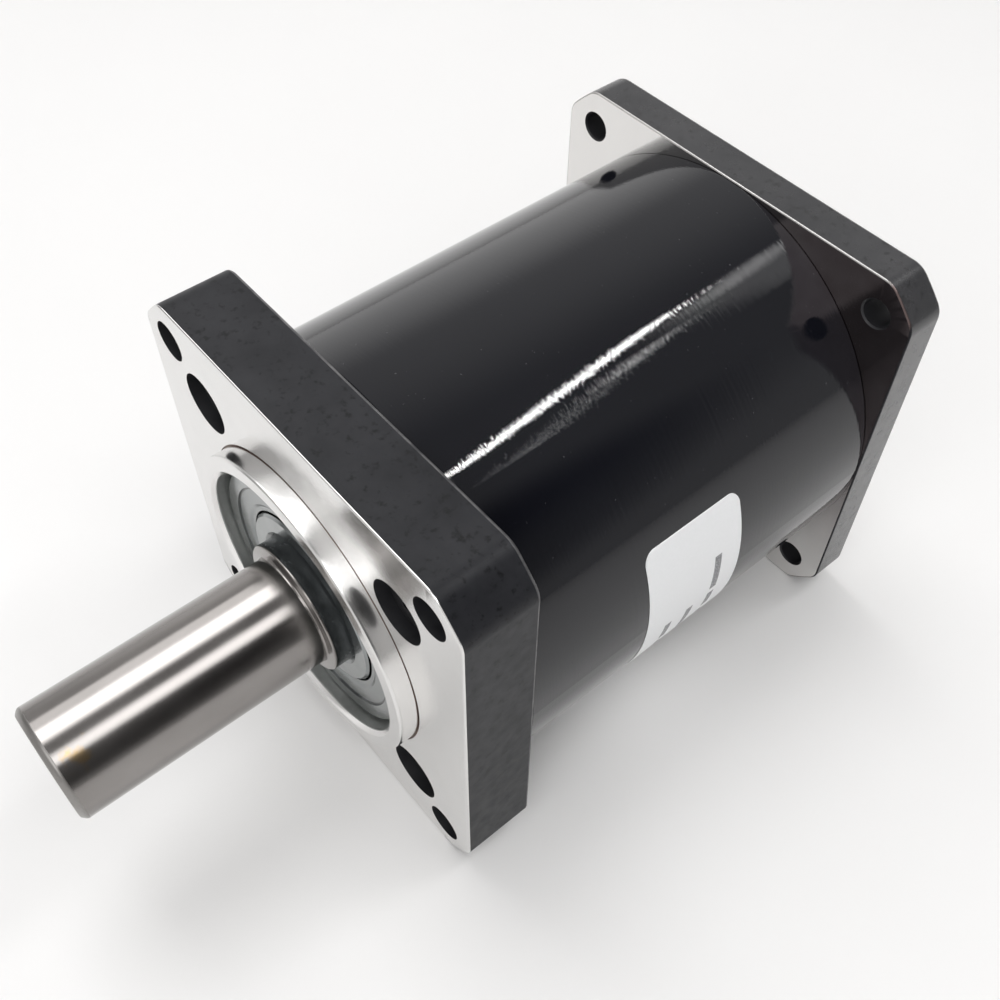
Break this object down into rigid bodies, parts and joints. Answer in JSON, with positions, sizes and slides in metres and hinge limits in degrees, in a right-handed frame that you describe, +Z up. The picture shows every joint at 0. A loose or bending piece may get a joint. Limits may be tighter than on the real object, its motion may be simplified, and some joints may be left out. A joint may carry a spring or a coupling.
{
  "type": "planetary gearbox",
  "caption": "Inline planetary gear reducer: square output flange with pilot boss and plain round shaft, black round ring gear case, square motor flange, loose-fit input pinion on a clamp collar.",
  "frame": {"origin": "on the shaft axis, in the plane of the front mounting face, at the centre of its bolt square", "axes": "+Y along the shaft axis towards the motor, so the output shaft points to -Y; +Z up when the gearbox lies on a flat of its flanges; +X to the right"},
  "size_m": [0.057, 0.104, 0.057],
  "materials": {
    "machined_aluminium": "turned and faced bright aluminium; black anodised on its edges and back",
    "black_case": "glossy black anodised and lacquered",
    "black_oxide_steel": "black oxide",
    "shaft_steel": "ground bright steel with a trace of oil",
    "bearing_steel": "ground and polished",
    "shield_steel": "pressed sheet steel, semi-gloss",
    "carrier_steel": "turned steel, oiled",
    "gear_steel": "hobbed and hardened steel, oiled",
    "collar_steel": "turned steel with a trace of oil and rust",
    "bronze": "sintered bronze",
    "label_paper": "white label film, no lettering"
  },
  "bodies": {
    "housing": {"front_flange": "machined_aluminium", "ring_gear_case": "black_case", "rear_flange": "machined_aluminium", "front_flange_screws": "black_oxide_steel", "rear_flange_screws": "black_oxide_steel", "front_bearing_outer_ring": "bearing_steel", "front_bearing_shields": "shield_steel", "rear_bearing_outer_ring": "bearing_steel", "rear_bearing_shields": "shield_steel", "outer_spacer": "carrier_steel", "label": "label_paper"},
    "output": {"output_shaft": "shaft_steel", "output_carrier_plate": "carrier_steel", "output_planet_pins": "gear_steel", "output_thrust_washers": "bronze", "front_bearing_inner_ring": "bearing_steel", "rear_bearing_inner_ring": "bearing_steel", "inner_spacer": "carrier_steel"},
    "front_ball_set": {"front_bearing_balls": "bearing_steel", "front_bearing_cage": "carrier_steel"},
    "rear_ball_set": {"rear_bearing_balls": "bearing_steel", "rear_bearing_cage": "carrier_steel"},
    "first_stage_carrier": {"first_carrier": "carrier_steel", "second_sun_gear": "gear_steel", "first_planet_pins": "gear_steel", "first_thrust_washers": "bronze", "first_carrier_cover": "carrier_steel"},
    "input": {"input_pinion": "gear_steel", "pinion_collar": "collar_steel", "collar_set_screw": "black_oxide_steel"},
    "output_planet_1": {"output_planet_gear_1": "gear_steel", "output_planet_bush_1": "bronze"},
    "output_planet_2": {"output_planet_gear_2": "gear_steel", "output_planet_bush_2": "bronze"},
    "output_planet_3": {"output_planet_gear_3": "gear_steel", "output_planet_bush_3": "bronze"},
    "output_planet_4": {"output_planet_gear_4": "gear_steel", "output_planet_bush_4": "bronze"},
    "first_planet_1": {"first_planet_gear_1": "gear_steel", "first_planet_bush_1": "bronze"},
    "first_planet_2": {"first_planet_gear_2": "gear_steel", "first_planet_bush_2": "bronze"},
    "first_planet_3": {"first_planet_gear_3": "gear_steel", "first_planet_bush_3": "bronze"}
  },
  "joints": [
    {"name": "output_spin", "type": "hinge", "parent": "housing", "child": "output", "pos_m": [0, 0, 0], "axis": [0, 1, 0], "continuous": true},
    {"name": "front_ball_orbit", "type": "hinge", "parent": "housing", "child": "front_ball_set", "pos_m": [0, 0.0058, 0], "axis": [0, 1, 0], "continuous": true},
    {"name": "rear_ball_orbit", "type": "hinge", "parent": "housing", "child": "rear_ball_set", "pos_m": [0, 0.0168, 0], "axis": [0, 1, 0], "continuous": true},
    {"name": "first_carrier_spin", "type": "hinge", "parent": "housing", "child": "first_stage_carrier", "pos_m": [0, 0.036, 0], "axis": [0, 1, 0], "continuous": true},
    {"name": "input_spin", "type": "hinge", "parent": "housing", "child": "input", "pos_m": [0, 0.055, 0], "axis": [0, 1, 0], "continuous": true},
    {"name": "output_planet_1_spin", "type": "hinge", "parent": "output", "child": "output_planet_1", "pos_m": [0.0132, 0.03, 0], "axis": [0, 1, 0], "continuous": true},
    {"name": "output_planet_2_spin", "type": "hinge", "parent": "output", "child": "output_planet_2", "pos_m": [0, 0.03, -0.0132], "axis": [0, 1, 0], "continuous": true},
    {"name": "output_planet_3_spin", "type": "hinge", "parent": "output", "child": "output_planet_3", "pos_m": [-0.0132, 0.03, 0], "axis": [0, 1, 0], "continuous": true},
    {"name": "output_planet_4_spin", "type": "hinge", "parent": "output", "child": "output_planet_4", "pos_m": [0, 0.03, 0.0132], "axis": [0, 1, 0], "continuous": true},
    {"name": "first_planet_1_spin", "type": "hinge", "parent": "first_stage_carrier", "child": "first_planet_1", "pos_m": [0.01155, 0.041, 0], "axis": [0, 1, 0], "continuous": true},
    {"name": "first_planet_2_spin", "type": "hinge", "parent": "first_stage_carrier", "child": "first_planet_2", "pos_m": [-0.00577, 0.041, -0.01], "axis": [0, 1, 0], "continuous": true},
    {"name": "first_planet_3_spin", "type": "hinge", "parent": "first_stage_carrier", "child": "first_planet_3", "pos_m": [-0.00577, 0.041, 0.01], "axis": [0, 1, 0], "continuous": true}
  ],
  "couplings": [
    {"joint": "front_ball_orbit", "follows": "output_spin", "ratio": 0.40846},
    {"joint": "rear_ball_orbit", "follows": "output_spin", "ratio": 0.40846},
    {"joint": "first_carrier_spin", "follows": "output_spin", "ratio": 4.8},
    {"joint": "input_spin", "follows": "output_spin", "ratio": 50.4},
    {"joint": "output_planet_1_spin", "follows": "output_spin", "ratio": -2.7143},
    {"joint": "output_planet_2_spin", "follows": "output_spin", "ratio": -2.7143},
    {"joint": "output_planet_3_spin", "follows": "output_spin", "ratio": -2.7143},
    {"joint": "output_planet_4_spin", "follows": "output_spin", "ratio": -2.7143},
    {"joint": "first_planet_1_spin", "follows": "output_spin", "ratio": -10.729},
    {"joint": "first_planet_2_spin", "follows": "output_spin", "ratio": -10.729},
    {"joint": "first_planet_3_spin", "follows": "output_spin", "ratio": -10.729}
  ]
}
